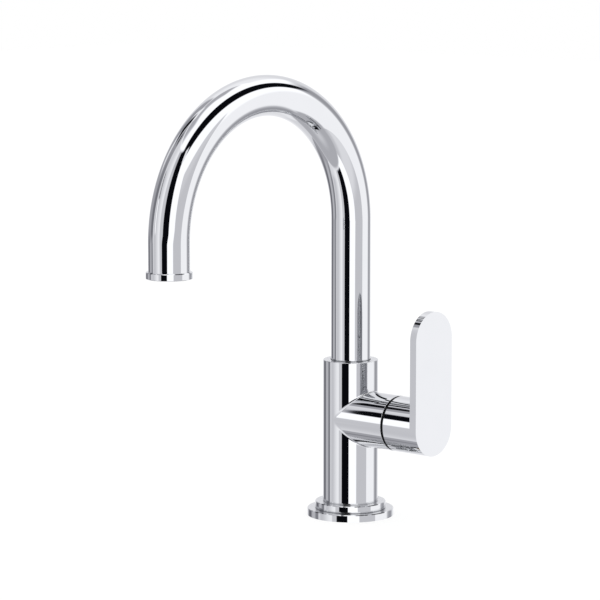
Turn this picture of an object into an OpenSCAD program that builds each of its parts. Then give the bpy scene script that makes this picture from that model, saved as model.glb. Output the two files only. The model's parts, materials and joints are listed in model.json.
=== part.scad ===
// Filtered-water faucet with a bent spout tube and a side lever on a quarter-turn valve.
// Origin: on the deck surface at the column's axis. The spout reaches along -Y and the
// valve barrel along +X. What is below z = 0 hangs under the deck.

/* [Deck mounting] */
// Diameter of the flange that rests on the deck
flange_d = 55; // [52:0.5:65]
// Height of the flange
flange_h = 4.5; // [3:0.5:7]
// Diameter of the step ring between the flange and the column
foot_d = 45; // [40:0.5:50]
// Height of the step ring
foot_h = 4.5; // [3:0.5:7]
// Chamfer on the outer edges that show
edge = 0.4; // [0.2:0.1:0.8]
// Thickness of the rubber seal let into the flange
deck_seal_t = 1.5; // [1:0.25:2]
// Width of the rubber seal let into the flange
deck_seal_w = 7; // [4:0.5:8]
// Outer diameter of the threaded shank
shank_d = 28; // [25:0.5:29]
// Bore of the shank, which takes the supply hose
shank_bore_d = 20; // [16:0.5:22]
// Length of the shank below the deck surface
shank_reach = 55; // [50:1:80]
// Length of the shank's thread inside the column
shank_grip = 15; // [10:1:18]
// Thickness of the deck that is clamped
deck_t = 30; // [3:1:34]
// Outer diameter of the two washers under the deck
washer_d = 46; // [42:0.5:55]
// Thickness of the rubber washer
rubber_washer_t = 3; // [2:0.5:4]
// Thickness of the steel washer
steel_washer_t = 2; // [1.5:0.5:3]
// Width of the mounting nut across its flats
nut_af = 36; // [34:1:41]
// Height of the mounting nut
nut_h = 8; // [6:0.5:9]

/* [Body] */
// Diameter of the column, the valve barrel and the lever's hub
column_d = 35; // [34:0.5:40]
// Height of the column above the step ring
column_h = 91; // [90:1:140]
// Height of the valve barrel's axis above the column's foot
barrel_up = 54.2; // [50:0.1:55]
// Distance from the column's axis to the valve barrel's end
barrel_reach = 39.3; // [39:0.1:45]
// Diameter of the threaded hole for the supply hose
inlet_d = 9; // [8:0.1:11]
// Depth of the threaded hole for the supply hose
inlet_depth = 10; // [8:1:14]
// Diameter of the water passages in the body
passage_d = 6; // [5:0.1:7]

/* [Spout] */
// Outer diameter of the spout tube
tube_d = 25; // [23:0.5:27]
// Wall of the spout tube
tube_wall = 1; // [0.8:0.1:1.5]
// Radius of the arch at the tube's centre line
bend_r = 82.5; // [50:0.5:120]
// Straight tube that shows between the column and the arch
rise = 89; // [40:1:160]
// Straight tube between the arch and the outlet ring
drop = 17.3; // [14:0.1:80]
// Depth of the tube's end below the column's top
tube_sink = 2; // [1:0.5:4]
// Bore of the turned nipple that carries the tube
nipple_bore_d = 17; // [14:0.5:18]
// Length of the nipple's stub inside the tube
nipple_stub = 11; // [8:1:16]
// Height of each glide ring
glide_h = 2.4; // [1.6:0.2:3]
// Height of the water space under the nipple
well_h = 1.2; // [0.6:0.1:1.5]
// Thickness of the cord of each spout O-ring
spout_ring_t = 1.8; // [1.4:0.1:2]
// Diameter of the grub screw that holds the spout in
hold_screw_d = 4; // [3:0.5:5]

/* [Outlet] */
// Diameter of the ring at the outlet
outlet_d = 28; // [27:0.5:32]
// Height of the ring at the outlet
outlet_h = 4.2; // [3.5:0.1:8]
// Diameter of the outlet ring's thread
outlet_thread_d = 21.2; // [20:0.1:21.6]
// Length of the outlet ring's thread
outlet_thread = 5.3; // [4.5:0.1:7]
// Bore of the outlet ring
aerator_d = 19.2; // [17:0.1:19.4]
// Width of the lip that holds the aerator
aerator_lip = 0.8; // [0.5:0.1:1.2]
// Height of the aerator's plastic insert
insert_h = 5.5; // [4:0.1:5.5]
// Height of the aerator's flow disc
flow_disc_h = 2; // [1.5:0.1:2.4]
// Thickness of the aerator's steel screen
screen_t = 0.6; // [0.4:0.1:0.8]
// Thickness of the aerator's washer
outlet_washer_t = 1.5; // [1:0.1:2]

/* [Valve] */
// Bore of the barrel that takes the valve
valve_bore_d = 21; // [20.5:0.1:22]
// Diameter of the ceramic discs
disc_d = 17.4; // [16.5:0.1:17.4]
// Thickness of the fixed disc
fixed_disc_t = 4; // [3:0.1:4.5]
// Thickness of the moving disc
moving_disc_t = 3; // [2.5:0.1:3.5]
// Thickness of the seal at the valve's seat
seat_seal_t = 2; // [1.5:0.1:2.5]
// Diameter of the ports in the fixed disc
port_d = 4.4; // [3.6:0.1:4.6]
// Thickness of the drive head on the stem
drive_t = 4; // [3:0.1:5]
// Diameter of the stem
stem_d = 9.9; // [9:0.1:10.5]
// Thickness of the cord of each stem O-ring
stem_ring_t = 1.4; // [1.2:0.1:1.6]
// Height of the valve housing's hexagon
hex_h = 3; // [2:0.1:3.5]
// Width of the valve housing's hexagon across its flats
hex_af = 22; // [20:0.5:22.5]
// Length of the housing's neck past its hexagon
neck_len = 5; // [4:0.5:6]

/* [Lever] */
// Width of the gap between the barrel and the lever's hub
seam = 2; // [1:0.1:2.6]
// How far the black ring lies below the barrel's surface
ring_inset = 0.6; // [0.6:0.1:1.6]
// Length of the lever's hub up to the paddle
hub_len = 21.7; // [21:0.1:30]
// Wall of the lever's hub
hub_wall = 3.2; // [2.8:0.1:3.6]
// Thickness of the wall between the hub's cavity and the paddle
hub_floor = 4.5; // [3:0.1:4.5]
// Thickness of the paddle
paddle_t = 5; // [3:0.1:7]
// Height of the paddle's top above the lever's axis
paddle_up = 73.3; // [50:0.1:100]
// Number of teeth on the stem's spline
spline_teeth = 20; // [12:2:24]
// Length of the spline insert
spline_len = 10.5; // [9:0.1:10.5]
// Diameter of the lever's grub screw
lever_screw_d = 5; // [4:0.5:6]

/* [Fits] */
// Radial gap between a thread and its hole
thread_gap = 0.1; // [0.05:0.01:0.15]
// Radial gap of the turning fits
run_gap = 0.05; // [0.03:0.01:0.08]
// Gap between pieces that pass without touching
free_gap = 0.3; // [0.2:0.05:0.4]
// Gap round loosely fitted pieces
slip_gap = 0.2; // [0.1:0.05:0.3]

/* [Hidden] */
fine = 96;
small = 48;
eps = 0.5;

// Radii and heights of the deck mounting
flange_r = flange_d / 2;
shank_r = shank_d / 2;
shank_hole_r = shank_r + slip_gap;
shank_top = flange_h + foot_h + shank_grip;
deck_seal_rim = 2.5;
deck_seal_in = flange_r - deck_seal_rim - deck_seal_w;
under_deck = -deck_t;
under_rubber = under_deck - rubber_washer_t;
under_steel = under_rubber - steel_washer_t;
nut_tip_r = nut_af / sqrt(3);

// Column and barrel
column_r = column_d / 2;
column_foot = flange_h + foot_h;
column_top = column_foot + column_h;
axis_z = column_foot + barrel_up;
passage_r = passage_d / 2;
valve_bore_r = valve_bore_d / 2;
counterbore_step = 3;
counterbore_depth = 5.3;
counterbore_r = valve_bore_r + counterbore_step;
counterbore_x = barrel_reach - counterbore_depth;
passage_overlap = 2;

// Turned nipple of the spout, from the tube's end downwards
tube_r = tube_d / 2;
tube_in = tube_r - tube_wall;
socket_r = tube_r + free_gap;
ride_r = socket_r - run_gap;
tube_end = column_top - tube_sink;
land = 0.9;
shoulder_h = 1.5;
glide_groove = glide_h + slip_gap;
hold_groove = hold_screw_d + 2 * free_gap;
seal_groove = spout_ring_t + 2 * slip_gap;
glide_a = tube_end - shoulder_h;
hold_z = glide_a - glide_groove - land;
seal_a = hold_z - hold_groove - land;
seal_b = seal_a - seal_groove - land;
glide_b = seal_b - seal_groove - land;
nipple_end = glide_b - glide_groove - land;
socket_floor = nipple_end - well_h;
glide_groove_depth = 1.3;
hold_groove_depth = 2;
glide_in = tube_r - glide_groove_depth;
hold_in = tube_r - hold_groove_depth;
spout_ring_mid = ride_r - spout_ring_t / 2;
spout_ring_in = spout_ring_mid - spout_ring_t / 2 - run_gap;
hold_r = hold_screw_d / 2;
hold_out = column_r - edge;
hold_mid = hold_z - hold_groove / 2;
hold_key_af = 2;
hold_key_depth = 2.5;

// Arch and outlet
arch_z = column_top + rise;
outlet_top = arch_z - drop;
outlet_z = outlet_top - outlet_h;
outlet_r = outlet_d / 2;
outlet_thread_r = outlet_thread_d / 2;
aerator_r = aerator_d / 2;
lip_h = 1;
insert_z = outlet_z + lip_h;
flow_disc_z = insert_z + insert_h;
screen_z = flow_disc_z + flow_disc_h;
outlet_washer_z = outlet_top + outlet_thread;
adapter_shelf = outlet_washer_z + outlet_washer_t;
adapter_neck = 4;
adapter_shelf_w = 2.2;
adapter_top = adapter_shelf + adapter_neck;
adapter_bore_r = outlet_thread_r - adapter_shelf_w;
aerator_core_r = aerator_r - slip_gap / 2;

// Valve, measured along the barrel from the column's axis
disc_r = disc_d / 2;
chamber_r = disc_r + slip_gap;
sleeve_gap = 0.6;
sleeve_r = valve_bore_r - sleeve_gap;
housing_thread_r = valve_bore_r - thread_gap;
fixed_disc_x = seat_seal_t;
disc_gap = 0.1;
moving_disc_x = fixed_disc_x + fixed_disc_t + disc_gap;
drive_x = moving_disc_x + moving_disc_t;
drive_end = drive_x + drive_t;
chamber_end = drive_end + free_gap;
window_x = moving_disc_x + disc_gap;
window_over = 1;
window_len = moving_disc_t + window_over;
window_w = 7;
port_rim = 1.9;
port_at = disc_r - port_d / 2 - port_rim;
drive_key_w = 1.8;
drive_key_t = 0.9;
drive_key_short = 1;
drive_r = chamber_r - free_gap;
seat_land = 0.4;
seat_in = port_at + port_d / 2 + seat_land;
seat_out = valve_bore_r - free_gap;
gasket_t = 1;
flange_x = counterbore_x + gasket_t;
housing_flange_t = 1;
hex_x = flange_x + housing_flange_t;
neck_x = hex_x + hex_h;
neck_end = neck_x + neck_len;
stem_r = stem_d / 2;
neck_wall = 2.5;
neck_r = stem_r + neck_wall;
thread_after = 6;
thread_relief = 1;
thread_x = chamber_end + thread_after;
thread_end = counterbore_x - thread_relief;
housing_flange_gap = 0.7;
housing_flange_r = counterbore_r - housing_flange_gap;
stem_hole_r = stem_r + run_gap;
stem_ring_mid = stem_r - stem_ring_t / 2;
stem_groove_r = stem_r - stem_ring_t - run_gap;
stem_groove_w = stem_ring_t + 2 * slip_gap;
stem_ring_after = 3;
stem_ring_x = chamber_end + stem_ring_after;
stem_rings_x = [stem_ring_x, stem_ring_x + 3 * stem_ring_t];
clip_t = 1;
clip_x = neck_end + free_gap;
clip_groove_depth = 0.9;
clip_groove_r = stem_r - clip_groove_depth;
clip_over = 1.6;
clip_r = stem_r + clip_over;
passage_off = 1;
inlet_x = -passage_r - passage_off;
seat_chamber_r = passage_r + passage_off;
outlet_x = window_x + window_len / 2;

// Lever and its hub, along the same line
hub_x = barrel_reach + seam;
paddle_x = hub_x + hub_len;
hub_in = column_r - hub_wall;
cavity_end = paddle_x - hub_floor;
insert_x = cavity_end - spline_len;
insert_wall = 1.6;
insert_r = stem_r + insert_wall;
boss_wall = 2.5;
boss_r = insert_r + boss_wall;
boss_web_z = axis_z - column_r + hub_wall / 2;
boss_web_h = column_r - hub_wall / 2 - insert_r - 1;
spline_step = 0.5;
spline_depth = 0.5;
spline_tip = stem_r - spline_step;
spline_root = spline_tip - spline_depth;
spline_clear = 0.9;
spline_start = clip_x + clip_t + spline_clear;
stem_end = cavity_end - free_gap;
lever_screw_r = lever_screw_d / 2;
lever_screw_x = insert_x + spline_len / 2;
screw_tip = spline_tip + free_gap;
lever_screw_len = 8;
lever_key_af = 2.5;
lever_key_depth = 3;
plug_step = 0.5;
plug_r = lever_screw_r + plug_step;
plug_depth = 2;
plug_in = column_r - plug_depth;
ring_t = seam - free_gap;

// A round piece with its top outer edge chamfered and an optional bore
module turned(r, h, bore = 0, cut = edge, fn = fine) {
  rotate_extrude($fn = fn) polygon([[bore, 0], [r, 0], [r, h - cut], [r - cut, h], [bore, h]]);
}

// A plain ring
module ring(r, bore, h, fn = fine) {
  rotate_extrude($fn = fn) translate([bore, 0]) square([r - bore, h]);
}

// A ring of round cord
module cord_ring(mid, t) {
  rotate_extrude($fn = fine) translate([mid, 0]) circle(r = t / 2, $fn = 32);
}

// Places a piece on the barrel's axis, with its own +Z along the barrel
module on_barrel(x) {
  translate([x, 0, axis_z]) rotate([0, 90, 0]) children();
}

// Places a piece on the outlet's axis at a height
module on_outlet(z) {
  translate([0, -2 * bend_r, z]) children();
}

// A toothed outline for the spline and its socket
function spline_outline(tip, root, share) = [
  for (i = [0 : spline_teeth - 1], k = [0 : 3])
    let (
      step = 360 / spline_teeth,
      half = step * share / 2,
      angle = i * step + [-half * 1.25, -half * 0.75, half * 0.75, half * 1.25][k],
      r = [root, tip, tip, root][k]
    )
    [r * cos(angle), r * sin(angle)]
];

// A hexagon socket for a key
module key_socket(af, depth) {
  cylinder(r = af / sqrt(3), h = depth, $fn = 6);
}

module base_seal() {
  color("dimgray") ring(deck_seal_in + deck_seal_w, deck_seal_in, deck_seal_t);
}

module flange() {
  color("silver") difference() {
    turned(flange_r, flange_h, shank_hole_r);
    translate([0, 0, -eps])
      ring(deck_seal_in + deck_seal_w + slip_gap, deck_seal_in - slip_gap, deck_seal_t + eps);
  }
}

module foot_ring() {
  color("silver") translate([0, 0, flange_h]) turned(foot_d / 2, foot_h, shank_hole_r);
}

// Column and side barrel in one casting, with the water ways cut into it
module body() {
  color("silver") difference() {
    union() {
      translate([0, 0, column_foot]) turned(column_r, column_h);
      on_barrel(0) turned(column_r, barrel_reach);
    }
    translate([0, 0, socket_floor]) cylinder(r = socket_r, h = column_top, $fn = fine);
    translate([0, 0, column_foot - eps])
      cylinder(r = shank_r + thread_gap, h = shank_grip + eps, $fn = fine);
    translate([0, 0, shank_top - eps])
      cylinder(r = inlet_d / 2, h = inlet_depth + eps, $fn = small);
    on_barrel(0) cylinder(r = valve_bore_r, h = barrel_reach + eps, $fn = fine);
    on_barrel(counterbore_x) cylinder(r = counterbore_r, h = barrel_reach, $fn = fine);
    translate([inlet_x, 0, shank_top + inlet_depth - passage_overlap])
      cylinder(r = passage_r, h = axis_z - shank_top - inlet_depth + passage_overlap, $fn = small);
    on_barrel(inlet_x - passage_r) cylinder(r = seat_chamber_r, h = passage_r - inlet_x + eps, $fn = small);
    translate([outlet_x, 0, axis_z]) cylinder(r = passage_r, h = socket_floor - axis_z + eps, $fn = small);
    translate([0, 0, hold_mid]) rotate([-90, 0, 0])
      cylinder(r = hold_r + thread_gap, h = column_r + eps, $fn = small);
  }
}

// Hollow threaded shank, screwed up against the floor of its hole in the column
module shank() {
  color("goldenrod") translate([0, 0, -shank_reach]) difference() {
    turned(shank_r, shank_reach + shank_top, shank_bore_d / 2);
    translate([0, 0, -eps]) difference() {
      cylinder(r = shank_r + eps, h = eps + 2 * edge, $fn = fine);
      cylinder(r1 = shank_r - 2 * edge - eps, r2 = shank_r, h = eps + 2 * edge, $fn = fine);
    }
  }
}

module rubber_washer() {
  color("dimgray") translate([0, 0, under_rubber]) ring(washer_d / 2, shank_hole_r, rubber_washer_t);
}

module clamp_washer() {
  color("gainsboro") translate([0, 0, under_steel]) ring(washer_d / 2, shank_hole_r, steel_washer_t);
}

// Hexagon nut with its corners turned off on both faces
module mounting_nut() {
  corner = nut_tip_r - nut_af / 2;
  color("goldenrod") translate([0, 0, under_steel - nut_h]) difference() {
    intersection() {
      cylinder(r = nut_tip_r, h = nut_h, $fn = 6);
      rotate_extrude($fn = fine) polygon([[0, 0], [nut_af / 2, 0], [nut_tip_r, corner / 2],
        [nut_tip_r, nut_h - corner / 2], [nut_af / 2, nut_h], [0, nut_h]]);
    }
    translate([0, 0, -eps]) cylinder(r = shank_r + thread_gap, h = nut_h + 2 * eps, $fn = fine);
  }
}

// Grub screw at the back of the column, its tip in the nipple's groove
module spout_screw() {
  tip = hold_in + free_gap;
  color("gainsboro") translate([0, tip, hold_mid]) rotate([-90, 0, 0]) difference() {
    turned(hold_r, hold_out - tip, fn = small);
    translate([0, 0, hold_out - tip - hold_key_depth]) key_socket(hold_key_af, hold_key_depth + eps);
  }
}

module seat_seal() {
  color("dimgray") on_barrel(0) ring(seat_out, seat_in, seat_seal_t);
}

// Ceramic disc with two ports, above and below the axis
module fixed_disc() {
  color("white") on_barrel(fixed_disc_x) difference() {
    cylinder(r = disc_r, h = fixed_disc_t, $fn = fine);
    for (side = [-1, 1])
      translate([side * port_at, 0, -eps]) cylinder(r = port_d / 2, h = fixed_disc_t + 2 * eps, $fn = small);
  }
}

// Brass housing: sleeve with two windows, thread, round flange, hexagon and neck
module valve_housing() {
  color("goldenrod") difference() {
    union() {
      on_barrel(fixed_disc_x) cylinder(r = sleeve_r, h = flange_x - fixed_disc_x, $fn = fine);
      on_barrel(thread_x) cylinder(r = housing_thread_r, h = thread_end - thread_x, $fn = fine);
      on_barrel(flange_x) cylinder(r = housing_flange_r, h = housing_flange_t, $fn = fine);
      on_barrel(hex_x) cylinder(r = hex_af / sqrt(3), h = hex_h, $fn = 6);
      on_barrel(neck_x) turned(neck_r, neck_len, fn = small);
    }
    on_barrel(fixed_disc_x - eps) cylinder(r = chamber_r, h = chamber_end - fixed_disc_x + eps, $fn = fine);
    on_barrel(0) cylinder(r = stem_hole_r, h = neck_end + eps, $fn = small);
    translate([window_x, -window_w / 2, axis_z - valve_bore_r]) cube([window_len, window_w, valve_bore_d]);
  }
}

module housing_gasket() {
  color("dimgray") on_barrel(counterbore_x) ring(housing_flange_r, sleeve_r + slip_gap, gasket_t);
}

// Black ring in the seam, seated on the end of the barrel
module barrel_ring() {
  color("black") on_barrel(barrel_reach) ring(column_r - ring_inset, counterbore_r + slip_gap, ring_t);
}

module tube_section() {
  difference() {
    circle(r = tube_r, $fn = fine);
    circle(r = tube_in, $fn = fine);
  }
}

// Bent tube: straight leg, half a turn, short straight leg
module spout_tube() {
  color("silver") {
    translate([0, 0, tube_end]) linear_extrude(arch_z - tube_end) tube_section();
    translate([0, -bend_r, arch_z]) rotate([90, 0, 90])
      rotate_extrude(angle = 180, $fn = 180) translate([bend_r, 0]) tube_section();
    on_outlet(outlet_top) linear_extrude(drop) tube_section();
  }
}

// Turned brass nipple fixed in the tube's end, with grooves for its rings and the grub screw
module spout_nipple() {
  color("goldenrod") difference() {
    union() {
      translate([0, 0, nipple_end]) cylinder(r = tube_r, h = tube_end - nipple_end, $fn = fine);
      translate([0, 0, tube_end - eps]) turned(tube_in - run_gap, nipple_stub + eps);
    }
    translate([0, 0, nipple_end - eps])
      cylinder(r = nipple_bore_d / 2, h = tube_end + nipple_stub - nipple_end + 2 * eps, $fn = fine);
    translate([0, 0, glide_a - glide_groove]) ring(tube_r + eps, glide_in, glide_groove);
    translate([0, 0, glide_b - glide_groove]) ring(tube_r + eps, glide_in, glide_groove);
    translate([0, 0, hold_z - hold_groove]) ring(tube_r + eps, hold_in, hold_groove);
    translate([0, 0, seal_a - seal_groove]) ring(tube_r + eps, spout_ring_in, seal_groove);
    translate([0, 0, seal_b - seal_groove]) ring(tube_r + eps, spout_ring_in, seal_groove);
  }
}

module glide_ring(groove_top) {
  color("whitesmoke") translate([0, 0, groove_top - glide_groove]) ring(ride_r, glide_in + run_gap, glide_h);
}

module spout_o_rings() {
  color("dimgray") for (top = [seal_a, seal_b])
    translate([0, 0, top - seal_groove / 2]) cord_ring(spout_ring_mid, spout_ring_t);
}

// Brass bush fixed in the tube's outlet end, threaded for the outlet ring
module outlet_adapter() {
  color("goldenrod") on_outlet(outlet_top) difference() {
    turned(tube_in - run_gap, adapter_top - outlet_top);
    translate([0, 0, -eps])
      cylinder(r = outlet_thread_r + thread_gap, h = adapter_shelf - outlet_top + eps, $fn = fine);
    translate([0, 0, -eps]) cylinder(r = adapter_bore_r, h = adapter_top - outlet_top + 2 * eps, $fn = fine);
  }
}

// Ring that shows at the outlet and screws the aerator up into the tube
module outlet_ring() {
  color("silver") on_outlet(outlet_z) difference() {
    union() {
      turned(outlet_r, outlet_h);
      cylinder(r = outlet_thread_r, h = outlet_h + outlet_thread, $fn = fine);
    }
    translate([0, 0, lip_h]) cylinder(r = aerator_r, h = outlet_h + outlet_thread, $fn = fine);
    translate([0, 0, -eps]) cylinder(r = aerator_r - aerator_lip, h = outlet_h, $fn = fine);
  }
}

// Plastic insert with rings of holes through its floor and air slots round its side
module aerator_insert() {
  floor_h = 2;
  cup_wall = 1.2;
  slot = 1;
  hole_r = 0.7;
  cup_r = aerator_core_r - cup_wall;
  color("lightgray") on_outlet(insert_z) difference() {
    cylinder(r = aerator_core_r, h = insert_h, $fn = fine);
    translate([0, 0, floor_h]) cylinder(r = cup_r, h = insert_h, $fn = fine);
    for (lap = [1 : 3], i = [0 : 6 * lap - 1])
      rotate([0, 0, i * 60 / lap]) translate([lap * cup_r / 3.6, 0, -eps])
        cylinder(r = hole_r, h = floor_h + 2 * eps, $fn = 16);
    for (i = [0 : 7])
      rotate([0, 0, i * 45 + 22.5]) translate([cup_r - eps, -slot / 2, floor_h + slot])
        cube([cup_wall + 2 * eps, slot, slot]);
  }
}

// Plastic disc whose small holes split the stream
module flow_disc() {
  hole_r = 0.5;
  color("whitesmoke") on_outlet(flow_disc_z) difference() {
    cylinder(r = aerator_core_r, h = flow_disc_h, $fn = fine);
    for (lap = [1 : 2], i = [0 : 8 * lap - 1])
      rotate([0, 0, i * 45 / lap]) translate([lap * aerator_core_r / 2.8, 0, -eps])
        cylinder(r = hole_r, h = flow_disc_h + 2 * eps, $fn = 16);
  }
}

// Steel screen on top of the flow disc
module aerator_screen() {
  hole_r = 0.55;
  color("gainsboro") on_outlet(screen_z) difference() {
    cylinder(r = aerator_core_r, h = screen_t, $fn = fine);
    for (lap = [1 : 4], i = [0 : 6 * lap - 1])
      rotate([0, 0, i * 60 / lap]) translate([lap * aerator_core_r / 4.7, 0, -eps])
        cylinder(r = hole_r, h = screen_t + 2 * eps, $fn = 16);
  }
}

module outlet_washer() {
  color("dimgray") on_outlet(outlet_washer_z)
    ring(outlet_thread_r - slip_gap, adapter_bore_r, outlet_washer_t);
}

module paddle_outline() {
  circle(r = column_r, $fn = fine);
  translate([-paddle_up + column_r, -column_r]) square([paddle_up - column_r, column_d]);
  translate([-paddle_up + column_r, 0]) circle(r = column_r, $fn = fine);
}

// Hub and upright paddle in one casting, hollow behind with a boss for the spline insert
module lever() {
  color("silver") difference() {
    union() {
      difference() {
        on_barrel(hub_x) cylinder(r = column_r, h = hub_len + eps, $fn = fine);
        on_barrel(hub_x - eps) cylinder(r = hub_in, h = cavity_end - hub_x + eps, $fn = fine);
      }
      on_barrel(paddle_x) linear_extrude(paddle_t) paddle_outline();
      on_barrel(insert_x) cylinder(r = boss_r, h = spline_len + eps, $fn = fine);
      translate([insert_x, -boss_r / 2, boss_web_z]) cube([spline_len + eps, boss_r, boss_web_h]);
    }
    on_barrel(insert_x - eps) cylinder(r = insert_r, h = spline_len + eps, $fn = fine);
    translate([lever_screw_x, 0, axis_z - column_r - eps])
      cylinder(r = lever_screw_r + thread_gap, h = column_r + eps, $fn = small);
    translate([lever_screw_x, 0, axis_z - column_r - eps])
      cylinder(r = plug_r + run_gap, h = column_r - plug_in + eps, $fn = small);
  }
}

// Plastic insert between the stem's spline and the hub's boss
module spline_insert() {
  color("whitesmoke") difference() {
    on_barrel(insert_x) cylinder(r = insert_r - run_gap, h = spline_len, $fn = fine);
    on_barrel(insert_x - eps) linear_extrude(spline_len + 2 * eps)
      polygon(spline_outline(spline_tip + thread_gap, spline_root + thread_gap, 0.6));
    translate([lever_screw_x, 0, axis_z - insert_r - eps])
      cylinder(r = lever_screw_r + thread_gap, h = insert_r + eps, $fn = small);
  }
}

// Grub screw under the hub that holds the lever on the stem
module lever_screw() {
  color("gainsboro") translate([lever_screw_x, 0, axis_z - screw_tip]) rotate([180, 0, 0]) difference() {
    turned(lever_screw_r, lever_screw_len, fn = small);
    translate([0, 0, lever_screw_len - lever_key_depth]) key_socket(lever_key_af, lever_key_depth + eps);
  }
}

module lever_plug() {
  color("silver") translate([lever_screw_x, 0, axis_z - plug_in]) rotate([180, 0, 0])
    turned(plug_r, column_r - plug_in - free_gap, cut = edge / 2, fn = small);
}

// Stem with its drive head, seal grooves, clip groove and spline
module stem() {
  color("goldenrod") difference() {
    union() {
      on_barrel(drive_x) cylinder(r = drive_r, h = drive_t, $fn = fine);
      translate([drive_x - drive_key_t, -drive_key_w / 2, axis_z - drive_r + drive_key_short])
        cube([drive_key_t + eps, drive_key_w, 2 * (drive_r - drive_key_short)]);
      on_barrel(drive_end - eps) cylinder(r = stem_r, h = spline_start - drive_end + eps, $fn = fine);
      on_barrel(spline_start) linear_extrude(stem_end - spline_start)
        polygon(spline_outline(spline_tip, spline_root, 0.5));
    }
    for (x = stem_rings_x)
      on_barrel(x - stem_groove_w / 2) ring(stem_r + eps, stem_groove_r, stem_groove_w);
    on_barrel(clip_x - disc_gap) ring(stem_r + eps, clip_groove_r, clip_t + disc_gap);
  }
}

module stem_o_rings() {
  color("dimgray") for (x = stem_rings_x)
    on_barrel(x) cord_ring(stem_ring_mid, stem_ring_t);
}

// Open spring clip in the stem's groove, just outside the housing's neck
module stem_clip() {
  gap_w = stem_r * 1.2;
  color("gainsboro") difference() {
    on_barrel(clip_x) ring(clip_r, clip_groove_r + run_gap, clip_t);
    translate([clip_x - eps, -gap_w / 2, axis_z]) cube([clip_t + 2 * eps, gap_w, clip_r + eps]);
  }
}

// Ceramic disc with two notches open at its rim and a slot for the stem's key
module moving_disc() {
  color("white") difference() {
    on_barrel(moving_disc_x) cylinder(r = drive_r, h = moving_disc_t, $fn = fine);
    for (side = [-1, 1]) {
      translate([0, side * port_at, 0]) on_barrel(moving_disc_x - eps)
        cylinder(r = port_d / 2, h = moving_disc_t + 2 * eps, $fn = small);
      translate([moving_disc_x - eps, side > 0 ? port_at : -disc_r, axis_z - port_d / 2])
        cube([moving_disc_t + 2 * eps, disc_r - port_at, port_d]);
    }
    translate([drive_x - drive_key_t - disc_gap, -drive_key_w / 2 - disc_gap, axis_z - drive_r - eps])
      cube([drive_key_t + disc_gap + eps, drive_key_w + 2 * disc_gap, 2 * drive_r + 2 * eps]);
  }
}

base_seal();
flange();
foot_ring();
body();
shank();
rubber_washer();
clamp_washer();
mounting_nut();
spout_screw();
seat_seal();
fixed_disc();
valve_housing();
housing_gasket();
barrel_ring();
spout_tube();
spout_nipple();
glide_ring(glide_a);  // upper_glide_ring
glide_ring(glide_b);  // lower_glide_ring
spout_o_rings();
outlet_adapter();
outlet_ring();
aerator_insert();
flow_disc();
aerator_screen();
outlet_washer();
lever();
spline_insert();
lever_screw();
lever_plug();
stem();
stem_o_rings();
stem_clip();
moving_disc();
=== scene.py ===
import json
import math

import bmesh
import bpy
from mathutils import Matrix, Vector


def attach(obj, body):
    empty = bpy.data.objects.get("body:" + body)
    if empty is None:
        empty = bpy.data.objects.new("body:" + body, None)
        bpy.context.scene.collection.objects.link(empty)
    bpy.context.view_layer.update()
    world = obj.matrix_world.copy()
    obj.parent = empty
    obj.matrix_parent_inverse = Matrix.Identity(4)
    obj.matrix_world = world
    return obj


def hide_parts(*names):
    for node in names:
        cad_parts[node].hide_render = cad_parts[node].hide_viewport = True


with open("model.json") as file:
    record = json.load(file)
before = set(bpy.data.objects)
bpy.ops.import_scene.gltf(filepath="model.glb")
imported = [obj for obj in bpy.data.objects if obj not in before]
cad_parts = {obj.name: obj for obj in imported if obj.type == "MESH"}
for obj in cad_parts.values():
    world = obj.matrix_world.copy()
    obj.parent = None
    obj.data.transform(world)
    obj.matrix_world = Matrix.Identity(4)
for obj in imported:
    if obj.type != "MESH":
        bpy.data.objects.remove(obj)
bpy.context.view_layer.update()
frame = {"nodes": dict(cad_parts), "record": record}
scene = bpy.context.scene

# Camera at the photograph's place: about two metres away, right of the front, slightly above
CAMERA_PLACE = (1.25428, -1.46270, 0.403649)
CAMERA_TURN = (math.radians(90 - 7.859), 0, math.radians(41.569))
CAMERA_LENS = 184.49

camera_data = bpy.data.cameras.new("camera")
camera_data.lens = CAMERA_LENS
camera_data.sensor_width = 36
camera_data.clip_start = 0.1
camera_data.clip_end = 20
camera = bpy.data.objects.new("camera", camera_data)
camera.location = CAMERA_PLACE
camera.rotation_euler = CAMERA_TURN
scene.collection.objects.link(camera)
scene.camera = camera

# Sizes in millimetres: the part's own, and the thread and draft that only this model has
AXIS_Z = 63.2
COLUMN_R = 17.5
COLUMN_FOOT = 9
COLUMN_TOP = 100
BARREL_END = 39.3
SOCKET_R = 12.8
SOCKET_FLOOR = 76.6
SHANK_R = 14
SHANK_BORE_R = 10
SHANK_HOLE_R = 14.1
SHANK_LOW = -55
SHANK_TOP = 24
THREAD_PITCH = 1.5
THREAD_DEPTH = 0.92
CREST_END = 0.19
ROOT_START = 0.66
ROOT_END = 1.03
RUBBER_TOP = -30
STEEL_TOP = -33
NUT_TOP = -35
NUT_LOW = -43
NUT_FLAT = 18
NUT_TIP = 20.785
WASHER_R = 23
INLET_R = 4.5
INLET_TOP = 34
PASSAGE_R = 3
VALVE_BORE_R = 10.5
COUNTERBORE_R = 13.5
COUNTERBORE_X = 34
HOLD_Z = 90.7
HOLD_R = 2.1
FLANGE_R = 27.5
FLANGE_H = 4.5
FOOT_R = 22.5
RING_BORE_R = 14.2
TUBE_R = 12.5
TUBE_IN = 11.5
TUBE_END = 98
BEND_R = 82.5
ARCH_Z = 189
OUTLET_TOP = 171.7
OUTLET_Z = 167.5
OUTLET_R = 14
OUTLET_THREAD_R = 10.6
OUTLET_THREAD_TOP = 177
AERATOR_R = 9.6
AERATOR_LIP_R = 8.8
HUB_X = 41.3
PADDLE_X = 63
PADDLE_T = 5
PADDLE_UP = 73.3
PADDLE_DRAFT = 0.2
HUB_IN = 14.3
CAVITY_END = 58.5
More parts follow.
